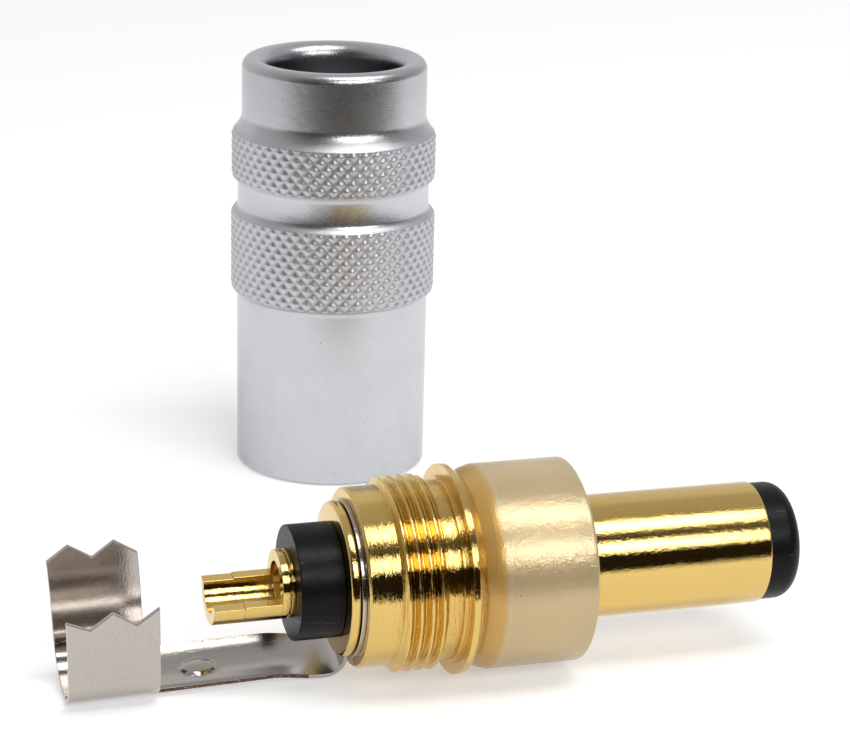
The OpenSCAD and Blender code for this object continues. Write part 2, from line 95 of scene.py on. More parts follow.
# elevation in degrees and width in metres of each softbox
SOFTBOXES = {"softbox_high": (74, 0.118), "softbox_low": (33.5, 0.105)}
WHITE_PAPER, BLACK_CLOTH = (0.72, 0.72, 0.72), (0.02, 0.016, 0.012)
# the dark edge tone is painted shade on the sheet's edges
SHADED_EDGE_TONE, BRIGHT_SPECK = (0.10, 0.05, 0.035), (0.62, 0.50, 0.42)


# ---------------------------------------------------------------- settings
class StageSettings(bpy.types.PropertyGroup):
    """Floor, lamps and camera."""
    floor_size: FloatProperty(
        name="Floor size", description="Side of the square floor", default=1.6, unit="LENGTH")
    floor_glow: FloatProperty(
        name="Floor glow", description="Extra light the paper sends to the eye and into the metal",
        default=0.42)
    lamp_distance: FloatProperty(
        name="Lamp distance", description="Distance of the softboxes from the plug",
        default=0.35, unit="LENGTH")
    lamp_length: FloatProperty(
        name="Softbox length", description="Length of the softboxes along the plug",
        default=0.30, unit="LENGTH")
    lamp_radiance: FloatProperty(
        name="Softbox brightness", description="How bright the softboxes look in the metal",
        default=6.0)
    lens: FloatProperty(
        name="Lens", description="Focal length in millimetres on a 36 mm sensor", default=114.35)


class FinishSettings(bpy.types.PropertyGroup):
    """Colours of the finishes."""
    gold: FloatVectorProperty(
        name="Gold", description="Colour of the gold plate", subtype="COLOR",
        size=3, min=0, max=1, default=(0.70, 0.49, 0.16))
    nickel: FloatVectorProperty(
        name="Nickel", description="Colour of the nickel plate", subtype="COLOR",
        size=3, min=0, max=1, default=(0.50, 0.46, 0.425))
    aluminium: FloatVectorProperty(
        name="Aluminium", description="Colour of the blasted aluminium", subtype="COLOR",
        size=3, min=0, max=1, default=(0.60, 0.605, 0.63))
    black: FloatVectorProperty(
        name="Black plastic", description="Colour of the insulators", subtype="COLOR",
        size=3, min=0, max=1, default=(0.004, 0.004, 0.0045))
    milky: FloatVectorProperty(
        name="Milky plastic", description="Colour of the moulded collar", subtype="COLOR",
        size=3, min=0, max=1, default=(0.87, 0.70, 0.41))


# ---------------------------------------------------------------- node helpers
def add_node(tree, kind, place=(0, 0), **values):
    node = tree.nodes.new(kind)
    node.location = place
    for key, value in values.items():
        setattr(node, key, value)
    return node


def new_material(name, colour, metallic=0.0, roughness=0.4):
    """A material with a Principled BSDF; returns the material, its tree and the shader."""
    material = bpy.data.materials.new(name)
    material.use_nodes = True
    tree = material.node_tree
    shader = tree.nodes["Principled BSDF"]
    shader.inputs["Base Color"].default_value = (*colour, 1)
    shader.inputs["Metallic"].default_value = metallic
    shader.inputs["Roughness"].default_value = roughness
    material.diffuse_color = (*colour, 1)
    return material, tree, shader


def set_material(obj, material):
    obj.data.materials.clear()
    obj.data.materials.append(material)


# ---------------------------------------------------------------- stage
def add_softbox(name, centre, elevation, distance, length, width, radiance):
    """A long softbox parallel to the plug, at an elevation in front of it."""
    lamp = bpy.data.lights.new(name, "AREA")
    lamp.shape = "RECTANGLE"
    lamp.size = length
    lamp.size_y = width
    lamp.energy = radiance * math.pi * length * width
    obj = bpy.data.objects.new(name, lamp)
    bpy.context.collection.objects.link(obj)
    angle = math.radians(elevation)
    place = centre + Vector((0, -math.cos(angle), math.sin(angle))) * distance
    obj.location = place
    normal = (place - centre).normalized()
    across = Vector((1, 0, 0))
    up = normal.cross(across)
    turn = Matrix((across, up, normal)).transposed().to_4x4()
    obj.matrix_world = Matrix.Translation(place) @ turn
    return obj


class PLUG_OT_stage(bpy.types.Operator):
    """Makes the paper floor, the softboxes, a dark flag, the room and the camera"""
    bl_idname = "plug.stage"
    bl_label = "Stage"

    def execute(self, context):
        stage = context.scene.plug_stage
        scene = context.scene
        self.make_floor(stage)
        self.make_lamps(stage)
        self.make_room(scene)
        self.make_camera(scene, stage)
        scene.view_settings.view_transform = "Standard"
        return {"FINISHED"}

    def make_floor(self, stage):
        half = stage.floor_size / 2
        mesh = bpy.data.meshes.new("floor")
        mesh.from_pydata(
            [(-half, -half, 0), (half, -half, 0), (half, half, 0), (-half, half, 0)],
            [], [(0, 1, 2, 3)])
        floor = bpy.data.objects.new("floor", mesh)
        floor.location = (0, 0, FLOOR_Z - 0.02 * MM)
        bpy.context.collection.objects.link(floor)
        material, tree, shader = new_material("white_paper", WHITE_PAPER, 0.0, 0.9)
        shader.inputs["Specular IOR Level"].default_value = 0.1
        path = add_node(tree, "ShaderNodeLightPath", (-900, -200))
        seen = path.outputs["Is Camera Ray"]
        for ray in ("Is Glossy Ray", "Is Transmission Ray"):
            seen = wire(tree, "ShaderNodeMath", (-600, -200), {0: seen, 1: path.outputs[ray]},
                        operation="ADD", use_clamp=True).outputs[0]
        glow = calculate(tree, "MULTIPLY", seen, stage.floor_glow, (-300, -200))
        shader.inputs["Emission Color"].default_value = (1, 1, 1, 1)
        tree.links.new(glow, shader.inputs["Emission Strength"])
        set_material(floor, material)

    def make_lamps(self, stage):
        centre = Vector((0.10, 0, 0))
        for name, (elevation, width) in SOFTBOXES.items():
            add_softbox(name, centre, elevation, stage.lamp_distance, stage.lamp_length,
                        width, stage.lamp_radiance)
        # dark flag below the lower softbox, seen only in the metal
        near, far = Vector((0, -0.026, FLOOR_Z + 0.1 * MM)), Vector((0, -0.11, 0.0475))
        wide = Vector((0.35, 0, 0))
        mesh = bpy.data.meshes.new("dark_flag")
        mesh.from_pydata([near - wide, near + wide, far + wide, far - wide], [], [(0, 1, 2, 3)])
        flag = bpy.data.objects.new("dark_flag", mesh)
        bpy.context.collection.objects.link(flag)
        material, _, shader = new_material("black_cloth", BLACK_CLOTH, 0.0, 1.0)
        shader.inputs["Specular IOR Level"].default_value = 0.0
        set_material(flag, material)
        flag.visible_camera = False
        flag.visible_diffuse = False
        flag.visible_transmission = False
        flag.visible_shadow = False

    def make_room(self, scene):
        world = bpy.data.worlds.new("studio")
        scene.world = world
        world.use_nodes = True
        tree = world.node_tree
        coords = add_node(tree, "ShaderNodeTexCoord", (-900, 0))
        split = add_node(tree, "ShaderNodeSeparateXYZ", (-700, 0))
        ramp = add_node(tree, "ShaderNodeValToRGB", (-500, 0))
        tree.links.new(coords.outputs["Generated"], split.inputs[0])
        to_unit = add_node(tree, "ShaderNodeMapRange", (-600, -200))
        to_unit.inputs["From Min"].default_value = -1
        to_unit.inputs["From Max"].default_value = 1
        tree.links.new(split.outputs["Y"], to_unit.inputs["Value"])
        tree.links.new(to_unit.outputs[0], ramp.inputs[0])
        stops = ramp.color_ramp.elements
        stops[0].position, stops[0].color = 0.0, (*ROOM_FRONT, 1)
        stops[1].position, stops[1].color = 1.0, (*ROOM_BACK, 1)
        for place, level in ROOM_STOPS:
            stop = stops.new(place)
            stop.color = (level, level, level, 1)
        background = tree.nodes["Background"]
        tree.links.new(ramp.outputs[0], background.inputs["Color"])
        background.inputs["Strength"].default_value = 1.0

    def make_camera(self, scene, stage):
        camera = bpy.data.cameras.new("camera")
        camera.sensor_width = 36
        camera.lens = stage.lens
        camera.clip_start = 0.005
        obj = bpy.data.objects.new("camera", camera)
        bpy.context.collection.objects.link(obj)
        yaw, pitch, roll = (math.radians(a) for a in (CAMERA_YAW, CAMERA_PITCH, CAMERA_ROLL))
        forward = Vector((math.sin(yaw) * math.cos(pitch), math.cos(yaw) * math.cos(pitch),
                          -math.sin(pitch)))
        right = Vector((math.cos(yaw), -math.sin(yaw), 0))
        up = right.cross(forward)
        right_rolled = right * math.cos(roll) + up * math.sin(roll)
        up_rolled = -right * math.sin(roll) + up * math.cos(roll)
        place = Vector(CAMERA_PLACE) * MM
        turn = Matrix((right_rolled, up_rolled, -forward)).transposed().to_4x4()
        obj.matrix_world = Matrix.Translation(place) @ turn
        scene.camera = obj


# ---------------------------------------------------------------- shader groups
def new_group(name, inputs, outputs):
    """An empty shader group with float inputs (with defaults) and float outputs."""
    tree = bpy.data.node_groups.new(name, "ShaderNodeTree")
    for label, value in inputs.items():
        socket = tree.interface.new_socket(label, in_out="INPUT", socket_type="NodeSocketFloat")
        socket.default_value = value
    for label in outputs:
        tree.interface.new_socket(label, in_out="OUTPUT", socket_type="NodeSocketFloat")
    return tree, add_node(tree, "NodeGroupInput", (-1200, 0)), add_node(
        tree, "NodeGroupOutput", (600, 0))


def wire(tree, kind, place=(0, 0), inputs=None, **values):
    """A node with some of its inputs set or linked."""
    node = add_node(tree, kind, place, **values)
    for key, value in (inputs or {}).items():
        if isinstance(value, bpy.types.NodeSocket):
            tree.links.new(value, node.inputs[key])
        else:
            node.inputs[key].default_value = value
    return node


def millimetres(tree):
    """Object coordinates in millimetres."""
    coords = add_node(tree, "ShaderNodeTexCoord", (-1200, -300))
    return wire(tree, "ShaderNodeVectorMath", (-1000, -300),
                {0: coords.outputs["Object"], "Scale": 1 / MM}, operation="SCALE").outputs[0]


def scaled(tree, vector, scale, place=(-800, -300)):
    return wire(tree, "ShaderNodeMapping", place, {"Vector": vector, "Scale": scale}).outputs[0]


def noise(tree, vector, scale, detail=2.0, rough=0.5, place=(-600, 0)):
    node = wire(tree, "ShaderNodeTexNoise", place,
                {"Vector": vector, "Scale": scale, "Detail": detail, "Roughness": rough})
    return node.outputs[0]


def ranged(tree, value, low, high, to_low=0.0, to_high=1.0, place=(-300, 0)):
    node = wire(tree, "ShaderNodeMapRange", place, {
        "Value": value, "From Min": low, "From Max": high, "To Min": to_low, "To Max": to_high})
    return node.outputs[0]


def calculate(tree, operation, a, b, place=(0, 0)):
    return wire(tree, "ShaderNodeMath", place, {0: a, 1: b}, operation=operation).outputs[0]


def turning_group():
    """Rings left by the lathe: fine height lines round the X axis."""
    tree, given, out = new_group("turning_marks", {"Lines": 13.0}, ("Height", "Streaks"))
    place = millimetres(tree)
    thin = noise(tree, scaled(tree, place, (1.0, 0.07, 0.07)), 9.0, 3.0, 0.7)
    tree.links.new(given.outputs["Lines"], thin.node.inputs["Scale"])
    broad = noise(tree, scaled(tree, place, (1.0, 0.05, 0.05)), 2.6, 2.0, 0.5, (-600, -300))
    height = calculate(tree, "ADD", thin, calculate(tree, "MULTIPLY", broad, 0.6))
    tree.links.new(height, out.inputs["Height"])
    tree.links.new(ranged(tree, thin, 0.35, 0.65), out.inputs["Streaks"])
    return tree


def grain_group():
    """Orange peel and fine speckle of plated or blasted metal."""
    tree, given, out = new_group("fine_grain", {"Scale": 14.0}, ("Height", "Speckle"))
    place = millimetres(tree)
    peel = noise(tree, place, 14.0, 3.0, 0.6)
    tree.links.new(given.outputs["Scale"], peel.node.inputs["Scale"])
    soft = noise(tree, place, 3.5, 1.0, 0.4, (-600, -300))
    height = calculate(tree, "ADD", peel, calculate(tree, "MULTIPLY", soft, 0.8))
    tree.links.new(height, out.inputs["Height"])
    tree.links.new(ranged(tree, peel, 0.3, 0.7), out.inputs["Speckle"])
    return tree


def scuff_group():
    """Sparse short scratches and specks as masks."""
    tree, given, out = new_group("scuffs_and_specks", {"Wear": 0.5}, ("Scratch", "Speck"))
    place = millimetres(tree)
    masks = []
    for k, turn in enumerate((0.5, -0.9, 1.8)):
        mapped = wire(tree, "ShaderNodeMapping", (-800, -200 * k), {
            "Vector": place, "Rotation": (turn, turn * 0.7, turn * 1.3),
            "Scale": (0.35, 5.0, 5.0), "Location": (7.0 * k, 3.0, 1.0)}).outputs[0]
        masks.append(ranged(tree, noise(tree, mapped, 1.6, 1.0, 0.4), 0.735, 0.76))
    scratch = calculate(tree, "MAXIMUM", calculate(tree, "MAXIMUM", masks[0], masks[1]), masks[2])
    tree.links.new(calculate(tree, "MULTIPLY", scratch, given.outputs["Wear"]),
                   out.inputs["Scratch"])
    cells = wire(tree, "ShaderNodeTexVoronoi", (-600, -700), {"Vector": place, "Scale": 1.7})
    dots = ranged(tree, cells.outputs["Distance"], 0.03, 0.055, 1.0, 0.0)
    some = ranged(tree, noise(tree, place, 0.8, 1.0), 0.52, 0.56)
    tree.links.new(calculate(tree, "MULTIPLY", dots, some), out.inputs["Speck"])
    return tree


GROUP_MAKERS = {"turning_marks": turning_group, "fine_grain": grain_group,
                "scuffs_and_specks": scuff_group}


def use_group(tree, name, place=(-900, 0), **values):
    """A node of a shared group, which is made at its first use."""
    node = add_node(tree, "ShaderNodeGroup", place)
    node.node_tree = bpy.data.node_groups.get(name) or GROUP_MAKERS[name]()
    for key, value in values.items():
        node.inputs[key].default_value = value
    return node


def bump(tree, height, strength, distance, under=None):
    values = {"Height": height, "Strength": strength, "Distance": distance * MM}
    if under:
        values["Normal"] = under
    return wire(tree, "ShaderNodeBump", (-200, -400), values).outputs["Normal"]


def mix_colour(tree, share, low, high):
    """Mixes two colours, or a colour and a colour socket."""
    node = add_node(tree, "ShaderNodeMix", (-200, 200), data_type="RGBA")
    tree.links.new(share, node.inputs["Factor"])
    for key, value in (("A", low), ("B", high)):
        socket = next(s for s in node.inputs if s.name == key and s.type == "RGBA")
        if isinstance(value, bpy.types.NodeSocket):
            tree.links.new(value, socket)
        else:
            socket.default_value = (*value, 1)
    return next(s for s in node.outputs if s.type == "RGBA")


# ---------------------------------------------------------------- finishes
def gold_material(name, colour, lines, grain, painted_root_shade=False):
    """Bright plate over turned brass, with painted shade in its hollows when asked."""
    material, tree, shader = new_material(name, colour, 1.0, 0.13)
    marks = use_group(tree, "turning_marks")
    peel = use_group(tree, "fine_grain", (-900, -300), Scale=11.0)
    scuffs = use_group(tree, "scuffs_and_specks", (-900, -600), Wear=0.2)
    normal = bump(tree, marks.outputs["Height"], strength=0.9 * lines, distance=0.045)
    normal = bump(tree, peel.outputs["Height"], strength=min(1, 0.8 * grain), distance=0.02,
                  under=normal)
    normal = bump(tree, scuffs.outputs["Scratch"], strength=0.4, distance=0.006, under=normal)
    tree.links.new(normal, shader.inputs["Normal"])
    rough = ranged(tree, marks.outputs["Streaks"], 0, 1, 0.04, 0.07 + 0.02 * lines)
    rough = calculate(tree, "ADD", rough,
                      calculate(tree, "MULTIPLY", peel.outputs["Speckle"], 0.04 * grain))
    tree.links.new(rough, shader.inputs["Roughness"])
    # the deep tone serves the scratches and also the painted shade in the hollows
    deep = tuple(c * f for c, f in zip(colour, (0.84, 0.72, 0.50)))
    tint = mix_colour(tree, scuffs.outputs["Scratch"], colour, deep)
    if painted_root_shade:
        # painted shade: the base colour darkens towards the deep tone where ambient occlusion
        # finds hollows such as the thread's roots
        hollow = add_node(tree, "ShaderNodeAmbientOcclusion", (-700, 400))
        hollow.inputs["Distance"].default_value = 0.35 * MM
        open_share = ranged(tree, hollow.outputs["AO"], 0.35, 0.9)
        tint = mix_colour(tree, open_share, deep, tint)
    tree.links.new(tint, shader.inputs["Base Color"])
    return material


def nickel_material(colour):
    """Nickel plated sheet with rolling lines and sheared edges."""
    material, tree, shader = new_material("nickel_sheet", colour, 1.0, 0.2)
    place = millimetres(tree)
    lines = noise(tree, scaled(tree, place, (7.0, 7.0, 0.2)), 1.6, 3.0, 0.6)
    peel = use_group(tree, "fine_grain", (-900, -300), Scale=9.0)
    scuffs = use_group(tree, "scuffs_and_specks", (-900, -600), Wear=0.8)
    normal = bump(tree, lines, strength=0.5, distance=0.008)
    normal = bump(tree, peel.outputs["Height"], strength=0.15, distance=0.002, under=normal)
    normal = bump(tree, scuffs.outputs["Scratch"], strength=0.5, distance=0.006, under=normal)
    tree.links.new(normal, shader.inputs["Normal"])
    tree.links.new(ranged(tree, peel.outputs["Speckle"], 0, 1, 0.13, 0.19),
                   shader.inputs["Roughness"])
    dull = tuple(c * 0.94 for c in colour)
    tint = mix_colour(tree, ranged(tree, lines, 0.38, 0.62), dull, colour)
    tree.links.new(tint, shader.inputs["Base Color"])
    return material


def shaded_edge_material():
    """Edge of the sheet in painted shade: dark, with bright specks."""
    material, tree, shader = new_material("sheet_edge_painted_shade", SHADED_EDGE_TONE, 0.6, 0.4)
    place = millimetres(tree)
    speckle = noise(tree, scaled(tree, place, (1.0, 2.5, 2.5)), 7.0, 3.0, 0.7)
    tint = mix_colour(tree, ranged(tree, speckle, 0.56, 0.68), SHADED_EDGE_TONE, BRIGHT_SPECK)
    tree.links.new(tint, shader.inputs["Base Color"])
    tree.links.new(bump(tree, speckle, strength=0.8, distance=0.03), shader.inputs["Normal"])
    return material


def aluminium_material(colour):
    """Finely blasted aluminium, with painted shade inside the bore and on the neck."""
    material, tree, shader = new_material("blasted_aluminium", colour, 1.0, 0.3)
    place = millimetres(tree)
    peel = use_group(tree, "fine_grain", (-900, -300), Scale=16.0)
    scuffs = use_group(tree, "scuffs_and_specks", (-900, -600), Wear=0.5)
    normal = bump(tree, peel.outputs["Height"], strength=0.6, distance=0.012)
    normal = bump(tree, scuffs.outputs["Scratch"], strength=0.4, distance=0.008, under=normal)
    tree.links.new(normal, shader.inputs["Normal"])
    dull = tuple(c * 0.94 for c in colour)
    cloud = ranged(tree, noise(tree, place, 0.45, 2.0), 0.35, 0.7)
    tint = mix_colour(tree, cloud, colour, dull)
    tint = mix_colour(tree, scuffs.outputs["Speck"], tint, (0.08, 0.07, 0.06))
    # painted shade: the inside of the bore is darkened to near black
    from_axis = wire(tree, "ShaderNodeVectorMath", (-700, 500), {
        0: place, 1: (SHELL_AXIS.x / MM, SHELL_AXIS.y / MM, 0)}, operation="SUBTRACT")
    flat = scaled(tree, from_axis.outputs[0], (1, 1, 0), (-500, 500))
    radius = wire(tree, "ShaderNodeVectorMath", (-300, 500), {0: flat}, operation="LENGTH")
    painted_bore_shade = ranged(tree, radius.outputs["Value"], 3.62, 3.45)
    tint = mix_colour(tree, painted_bore_shade, tint, (0.035, 0.035, 0.04))
    # painted shade: the neck below the rim darkens up towards the rim
    height = wire(tree, "ShaderNodeSeparateXYZ", (-700, 800), {0: place}).outputs["Z"]
    foot = SHELL_LOW.z / MM
    neck = ranged(tree, height, foot + 17.9, foot + 20.6, 0.0, 0.35)
    tint = mix_colour(tree, neck, tint, tuple(c * 0.62 for c in colour))
    tree.links.new(tint, shader.inputs["Base Color"])
    knurled = ranged(tree, radius.outputs["Value"], 5.02, 5.10, 0.0, 0.14)
    rough = ranged(tree, peel.outputs["Speckle"], 0, 1, 0.26, 0.32)
    rough = calculate(tree, "ADD", knurled, rough)
    tree.links.new(rough, shader.inputs["Roughness"])
    return material


def black_material(colour):
    """Black moulding with faint marks."""
    material, tree, shader = new_material("black_moulding", colour, 0.0, 0.35)
    peel = use_group(tree, "fine_grain", (-900, -300), Scale=7.0)
    scuffs = use_group(tree, "scuffs_and_specks", (-900, -600), Wear=0.8)
    normal = bump(tree, peel.outputs["Height"], strength=0.35, distance=0.012)
    tree.links.new(normal, shader.inputs["Normal"])
    tree.links.new(ranged(tree, peel.outputs["Speckle"], 0, 1, 0.28, 0.45),
                   shader.inputs["Roughness"])
    shader.inputs["Specular IOR Level"].default_value = 0.14
    tint = mix_colour(tree, scuffs.outputs["Scratch"], colour, (0.04, 0.04, 0.04))
    tint = mix_colour(tree, scuffs.outputs["Speck"], tint, (0.35, 0.34, 0.32))
    tree.links.new(tint, shader.inputs["Base Color"])
    return material


def milky_material(colour):
    """Milky translucent moulding over the metal spigot, with a painted highlight along the bevel's
    edge.
    """
    material, tree, shader = new_material("milky_moulding", colour, 0.28, 0.27)
    peel = use_group(tree, "fine_grain", (-900, -300), Scale=9.0)
    scuffs = use_group(tree, "scuffs_and_specks", (-900, -600), Wear=0.5)
    marks = use_group(tree, "turning_marks", (-900, 0), Lines=3.0)
    normal = bump(tree, marks.outputs["Height"], strength=0.5, distance=0.03)
    normal = bump(tree, peel.outputs["Height"], strength=0.7, distance=0.02, under=normal)
    normal = bump(tree, scuffs.outputs["Scratch"], strength=0.4, distance=0.01, under=normal)
    tree.links.new(normal, shader.inputs["Normal"])
    shader.inputs["Transmission Weight"].default_value = 0.55
    shader.inputs["IOR"].default_value = 1.4
    warm = tuple(c * f for c, f in zip(colour, (1.0, 0.80, 0.42)))
    place = millimetres(tree)
    split = wire(tree, "ShaderNodeSeparateXYZ", (-700, 500), {0: place})
    back = ranged(tree, split.outputs["X"], -4.0, -4.3)
    # painted highlight: a pale line along the edge where the back bevel meets the collar's
    # cylinder
    painted_edge_highlight = ranged(tree, calculate(tree, "ABSOLUTE", calculate(
        tree, "ADD", split.outputs["X"], 4.02), 0), 0.02, 0.16, 0.22, 0.0)
    tint = mix_colour(tree, back, colour, warm)
    tint = mix_colour(tree, painted_edge_highlight, tint, (0.93, 0.86, 0.72))
    tint = mix_colour(tree, scuffs.outputs["Speck"], tint, (0.10, 0.07, 0.04))
    tree.links.new(tint, shader.inputs["Base Color"])
    return material


# ---------------------------------------------------------------- shapes
def length(name, description, millimetres):
    """A length property, given in millimetres."""
    return FloatProperty(
        name=name, description=description, default=millimetres * MM, unit="LENGTH", precision=5)


def add_piece(name, points, faces, stands_for, material, edge=0.03, sharp=32):
    """A mesh piece that replaces a solid; points are in millimetres, edges are softened."""
    mesh = bpy.data.meshes.new(name)
    mesh.from_pydata([Vector(p) * MM for p in points], [], faces)
    work = bmesh.new()
    work.from_mesh(mesh)
    bmesh.ops.recalc_face_normals(work, faces=work.faces)
    work.to_mesh(mesh)
    work.free()
    mesh.shade_smooth()
    obj = bpy.data.objects.new(name, mesh)
    bpy.context.collection.objects.link(obj)
    if edge:
        bevel = obj.modifiers.new("soft_edges", "BEVEL")
        bevel.width = edge * MM
        bevel.segments = 2
        bevel.limit_method = "ANGLE"
        bevel.angle_limit = math.radians(sharp)
        bevel.harden_normals = True
    set_material(obj, material)
    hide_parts(stands_for)
    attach(obj, "root")
    return obj


def turned(profile, turns, shape=None):
    """Points and faces of a closed (along, radius) profile turned about the X axis."""
    points, faces = [], []
    for i in range(turns):
        angle = 2 * math.pi * i / turns
        for along, radius in profile:
            if shape:
                radius = shape(along, radius, angle)
            points.append((along, radius * math.cos(angle), radius * math.sin(angle)))
    rows = len(profile)
    for i in range(turns):
        here, there = i * rows, (i + 1) % turns * rows
        for k in range(rows):
            n = (k + 1) % rows
            faces.append((here + k, there + k, there + n, here + n))
    return points, faces


def arc(centre, radius, start, end, steps):
    """Points of an arc in the (along, radius) plane, angles in degrees."""
    return [(centre[0] + radius * math.cos(math.radians(start + (end - start) * k / steps)),
             centre[1] + radius * math.sin(math.radians(start + (end - start) * k / steps)))
            for k in range(steps + 1)]


def rolled(points, degrees):
    """Points turned about the plug's axis, far side up."""
    turn = Matrix.Rotation(math.radians(degrees), 3, "X")
    return [turn @ Vector(p) for p in points]


# ---------------------------------------------------------------- turned metal
class CoreSettings(bpy.types.PropertyGroup):
    """Sizes of the turned pieces where the scene refines the solids."""
    nose_reach: length("Nose reach", "How far the nose stands out of the barrel", 1.58)
    nose_radius: length("Nose radius", "Radius of the nose", 2.65)
    nose_round: length("Nose rounding", "Radius of the nose's edge", 0.75)
    collar_back: length("Collar back", "Distance of the collar's back from its front", 4.955)
    collar_radius: length("Collar radius", "Radius of the collar", 4.53)
    thread_pitch: length("Thread pitch", "Advance of the thread in one turn", 0.505)
    thread_depth: length("Thread depth", "Radial depth of the thread", 0.27)
    cup_bore: length("Cup bore", "Radius of the solder cup's bore", 1.0)
    cup_length: length("Cup length", "Length of the cut part of the solder cup", 2.95)
    cup_roll: FloatProperty(
        name="Cup roll", description="How far the solder cup is turned, far side up",
        default=math.radians(9.5), subtype="ANGLE")


class PLUG_OT_turned(bpy.types.Operator):
    """Turns the threaded body, the barrel and the solder cup with soft edges and a true helix"""
    bl_idname = "plug.turned"
    bl_label = "Turned metal"

    def execute(self, context):
        core = context.scene.plug_core
        gold = context.scene.plug_finish.gold
        self.body(core, gold_material("gold_body", gold, lines=1.0, grain=0.08, painted_root_shade=True))
        self.barrel(gold_material("gold_barrel", gold, lines=0.15, grain=0.42))
        self.cup(core, gold_material("gold_cup", gold, lines=0.3, grain=0.35))
        return {"FINISHED"}

    def body(self, core, material):
        pitch, depth = core.thread_pitch / MM, core.thread_depth / MM
        flange_front = -core.collar_back / MM
        chamfer, lead_in, rows = 0.1, 0.16, 72
        groove_half, groove_round, root_flat = 0.40, 0.8, 1.12
        reach = THREAD_FRONT - THREAD_BACK
        thread = [(THREAD_BACK + reach * k / rows, CREST_R) for k in range(rows + 1)]

        def helix(along, radius, angle):
            if radius != CREST_R:
                return radius
            phase = ((along - THREAD_BACK) / pitch - angle / (2 * math.pi)) % 1
            groove = max(0.0, 1 - abs(phase - 0.5) / groove_half) ** groove_round
            lead = PILOT_R + (along - THREAD_BACK) / lead_in * (CREST_R - PILOT_R)
            return min(CREST_R - depth * min(1, groove * root_flat), lead)

        profile = [(BODY_BACK, BODY_BORE_R), (BODY_BACK, PILOT_R - chamfer),
                   (BODY_BACK + chamfer, PILOT_R), *thread,
                   (RELIEF_BACK, RELIEF_R), (STEP_BACK, RELIEF_R), (STEP_BACK, STEP_R),
                   (FLANGE_BACK, STEP_R), (FLANGE_BACK, FLANGE_R - 0.01), (FLANGE_RIM, FLANGE_R),
                   (flange_front, FLANGE_FRONT_R), (flange_front, SPIGOT_R),
                   (COLLAR_WALL, SPIGOT_R), (COLLAR_WALL, BODY_BORE_R)]
        add_piece("threaded_body_turned", *turned(profile, 224, helix), "threaded_body",
                  material, 0.035)

    def barrel(self, material):
        lip, back_round, front_round, mouth = 0.43, 0.16, 0.12, 0.1
        lip_front = LIP_BACK + lip
        profile = [(LIP_BACK, BARREL_BORE_R),
                   *arc((LIP_BACK + back_round, LIP_R - back_round), back_round, 180, 90, 4),
                   *arc((lip_front - front_round, LIP_R - front_round), front_round, 90, 0, 4),
                   (lip_front, HELD_R), (0, HELD_R), (0, BARREL_R),
                   *arc((BARREL_FRONT - mouth, BARREL_R - mouth), mouth, 90, 0, 4),
                   (BARREL_FRONT, BARREL_BORE_R)]
        add_piece("barrel_turned", *turned(profile, 160), "barrel_sleeve", material, 0.02)

    def cup(self, core, material):
        bore = core.cup_bore / MM
        back = RING_BACK - core.cup_length / MM
        step = RING_BACK - 1.62
        groove_front, groove_r, foot_r = FOOT_BACK + 0.08, 1.35, 1.5
        socket_back, socket_front, pin_end, middle = 0.6, 9.3, 1.2, 0.001
        bore_past_ring, drill_tip = 0.15, 0.75
        profile = [(RING_BACK, bore), (RING_BACK, CUP_R), (FOOT_BACK, CUP_R),
                   (FOOT_BACK, groove_r), (groove_front, groove_r), (groove_front, foot_r),
                   (INSULATOR_BACK, foot_r), (INSULATOR_BACK, STEM_R),
                   (socket_back, STEM_R), (socket_back, SOCKET_R), (socket_front, SOCKET_R),
                   (socket_front, PIN_BORE_R), (pin_end, PIN_BORE_R), (pin_end, middle),
                   (RING_BACK + drill_tip, middle), (RING_BACK + bore_past_ring, bore)]
        points, faces = turned(profile, 96)
        cuts = ((back, step + 0.01, -0.19), (step, RING_BACK + 0.02, -0.13))
        for start, end, height in cuts:
            self.add_trough(points, faces, start, end, bore, CUP_R, height)
        add_piece("solder_cup_turned", rolled(points, math.degrees(core.cup_roll)), faces,
                  "centre_contact", material, 0.03)

    def add_trough(self, points, faces, start, end, inner, outer, height):
        """The part of a tube below a cut plane."""
        steps = 40
        section = []
        for radius, back in ((outer, False), (inner, True)):
            rise = math.asin(height / radius)
            angles = [math.pi - rise + (math.pi + 2 * rise) * k / steps for k in range(steps + 1)]
            for angle in reversed(angles) if back else angles:
                section.append((radius * math.cos(angle), radius * math.sin(angle)))
        base, count = len(points), len(section)
        for along in (start, end):
            points.extend((along, y, z) for y, z in section)
        for k in range(count):
            n = (k + 1) % count
            faces.append((base + k, base + n, base + count + n, base + count + k))
        for k in range(steps):
            for shift in (0, count):
                faces.append((base + shift + k, base + shift + k + 1,
                              base + shift + count - 2 - k, base + shift + count - 1 - k))


